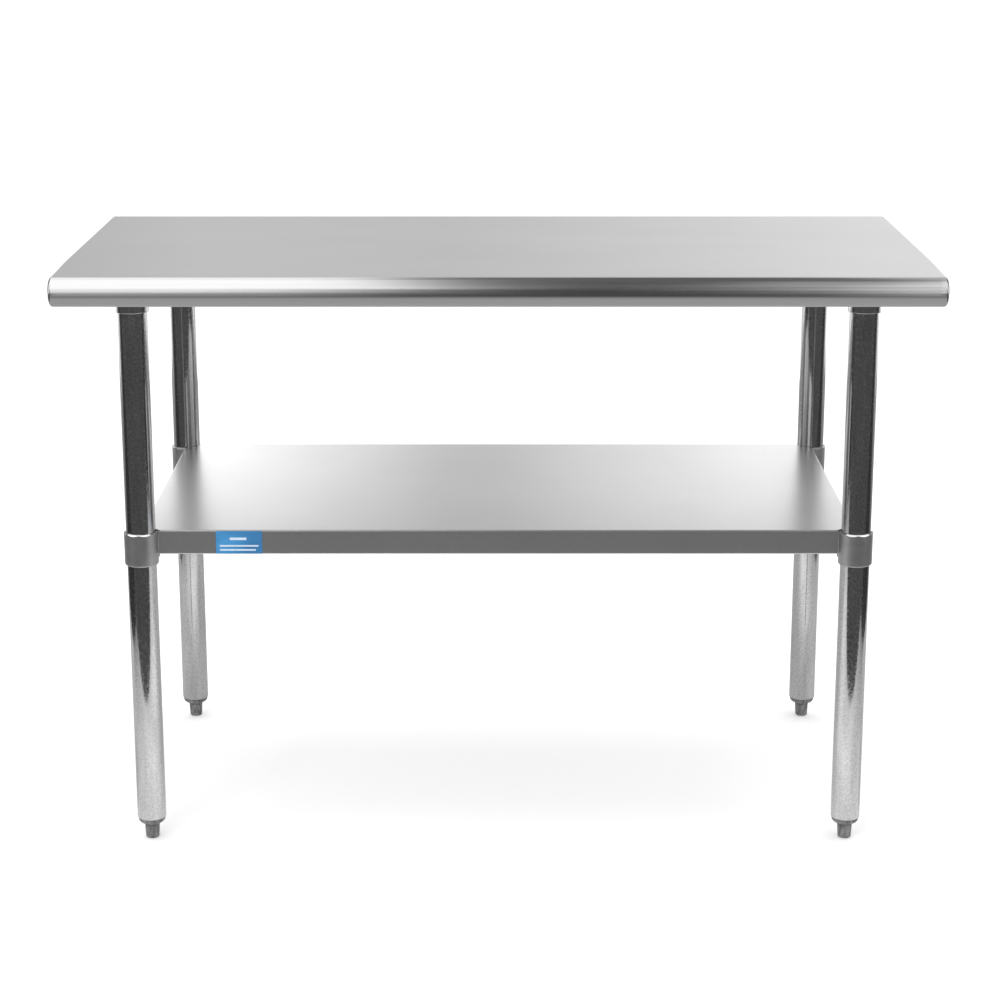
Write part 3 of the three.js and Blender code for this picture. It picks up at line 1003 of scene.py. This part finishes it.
def area_light(name, place, target, width, height, power):
    """A soft light that brushed metal doesn't mirror; the cards above are what it mirrors."""
    data = bpy.data.lights.new(name, "AREA")
    data.shape = "RECTANGLE"
    data.size = width
    data.size_y = height
    data.energy = power
    lamp = bpy.data.objects.new(name, data)
    lamp.location = place
    lamp.rotation_euler = (Vector(target) - Vector(place)).to_track_quat("-Z", "Y").to_euler()
    bpy.context.scene.collection.objects.link(lamp)
    lamp.visible_camera = False
    lamp.visible_glossy = False


def world():
    white = bpy.data.worlds.new("studio")
    white.use_nodes = True
    background = white.node_tree.nodes["Background"]
    background.inputs["Color"].default_value = (1, 1, 1, 1)
    background.inputs["Strength"].default_value = 1.0
    bpy.context.scene.world = white
    bpy.context.scene.view_settings.view_transform = "Standard"


def floor_cards():
    """Pale screens on the floor with dark flags round them, for the legs and the shelf's edge. Under the
    table they carry a painted shadow of the table on the floor.
    """
    middle_y = -0.2
    level_card("front_floor_flag", -FAR, FAR, -FAR, SCREEN_FRONT, CARD_LIFT, [(0, 0.1)])
    for side, name in ((-1, "left"), (1, "right")):
        near = sorted((side * SCREEN_INNER, side * SCREEN_OUTER))
        far = sorted((side * SCREEN_OUTER, side * FAR))
        ramp = facing([(0, 1.0), (0.36, 0.84), (0.6, 0.72), (1, 0.43)], side)
        level_card(f"{name}_near_screen", *near, SCREEN_FRONT, middle_y, CARD_LIFT, ramp)
        level_card(f"{name}_back_screen", *near, middle_y, SCREEN_BACK, CARD_LIFT, [(0, 0.7)])
        level_card(f"{name}_far_flag", *far, SCREEN_FRONT, SCREEN_BACK, CARD_LIFT,
                   [(0, 0.05), (0.5, 0.05), (0.58, 0.12), (0.65, 0.22), (1, 0.42)], "Y")
        side_card(f"{name}_side_flag", side * 1.6, 0.1, 1.6, 0.58, 2.2, [(0, 0.15)])
        beyond = sorted((side * CEILING_HALF, side * 9))
        upright_card(f"{name}_front_flag", *beyond, WALL_Y, 0, 4, [(0, 0.15)])
    inner = (-SCREEN_INNER, SCREEN_INNER)
    # Painted shadow: a dimmer card under the table stands in for the table's shadow on the floor, as the
    # legs mirror it.
    level_card("table_shadow_screen", *inner, 0.05, 1.2, CARD_LIFT, [(0, 0.6)])
    # A bright floor in front of the table. Its back end runs under the table and dims there as a painted
    # shadow of the table.
    level_card("near_floor_and_shadow_screen", *inner, SCREEN_FRONT, 0.05, CARD_LIFT,
               [(0, 0.96), (0.2, 1.06), (0.38, 1.15), (0.62, 1.02), (0.83, 0.72), (1, 0.6)], "Y")
    level_card("back_floor_flag", -3, 3, SCREEN_BACK, FAR, CARD_LIFT, [(0, 0.42)])


def wall_and_ceiling_cards():
    """Flags on the wall in front and across the ceiling, which the rolled edge and the top mirror."""
    span = (-CEILING_HALF, CEILING_HALF)
    front_end, middle_end, back_end = -3.2, -0.2, 4.4
    upright_card("front_wall_flag", *span, WALL_Y, 0, CEILING,
                 [(0, 0.8), (0.3, 0.65), (0.45, 0.14), (0.52, 0.06), (0.63, 0.055), (0.77, 0.2),
                  (0.86, 1.0)])
    level_card("front_ceiling_flag", *span, WALL_Y, front_end, CEILING,
               [(0.5, 0.12), (0.56, 0.08), (0.6, 0.08), (0.68, 0.27), (0.75, 0.55), (0.79, 1.1)])
    level_card("middle_ceiling_flag", *span, front_end, middle_end, CEILING,
               [(0.5, 0.19), (0.56, 0.12), (0.6, 0.13), (0.64, 0.42), (0.69, 0.48), (0.73, 1.2)])
    level_card("back_ceiling_flag", *span, middle_end, back_end, CEILING,
               [(0.4, 1.4), (0.43, 1.0), (0.46, 0.32), (0.49, 0.19), (0.55, 0.16), (0.62, 0.14),
                (0.69, 0.2), (0.73, 0.7)])


def softbox_cards():
    """The softbox to the left. In the rolled edge it fades out to the right."""
    left, right, front, top = -2.4, 0.2, -4.4, 3.1
    level_card("left_softbox", left, right, front, 0.5, top,
               [(0.73, 1.6), (0.79, 1.5), (0.846, 0.78), (0.902, 0.25), (0.96, 0.16), (1, 0.12)])
    upright_card("left_front_softbox", left, 0, front, 1.15, top,
                 [(0.59, 1.25), (0.667, 1.15), (0.742, 0.92), (0.82, 0.58), (0.894, 0.2), (0.97, 0.1)])


def roll_cards():
    """Two narrow cards just under the rolled edge, which its lower half mirrors."""
    under_roll = TOP_LOW.z - 1 * MM
    half, front, between, back = 0.62, -0.45, -0.34, -0.285
    level_card("roll_front_screen", -half, half, front, between, under_roll,
               [(0, 0.42), (0.25, 0.33), (0.4, 0.12), (0.5, 0.08), (0.7, 0.07), (0.85, 0.13), (1, 0.42)])
    level_card("roll_screen", -half, half, between, back, under_roll,
               [(0, 0.1), (0.4, 0.44), (1, 0.5)], "Y")


def back_reflectors():
    """What the shelf and the top mirror behind the table."""
    upright_card("shelf_reflector", -1.3, 1.3, 0.75, 0.46, 0.8,
                 [(0, 1.7), (0.3, 1.68), (0.46, 0.76), (0.5, 0.76), (0.68, 1.4), (1, 1.6)])
    upright_card("top_reflector", -2.6, 2.6, 2.2, 0.85, 2.6,
                 [(0, 0.5), (0.3, 0.62), (0.36, 0.7), (0.48, 0.7), (0.56, 0.81), (0.67, 0.97), (1, 1.1)])


def studio():
    world()
    floor()
    area_light("key_softbox", (-1.6, -3.4, 3.2), (-0.2, 0, 0.5), 1.8, 1.8, 40)
    area_light("overhead_softbox", (0, 0.4, 4.2), (0, 0, 0), 4, 3, 60)
    floor_cards()
    wall_and_ceiling_cards()
    softbox_cards()
    roll_cards()
    back_reflectors()


def camera():
    """A long lens in front of the table, level with a person's chest and tipped down a little."""
    data = bpy.data.cameras.new("photo_view")
    data.sensor_width = 36
    data.lens = 86.54
    view = bpy.data.objects.new("photo_view", data)
    view.location = (0.0022, -3.508, 1.370)
    tip = 0.26
    view.rotation_euler = (math.pi / 2 - tip, 0, 0)
    bpy.context.scene.collection.objects.link(view)
    bpy.context.scene.camera = view


studio()
camera()
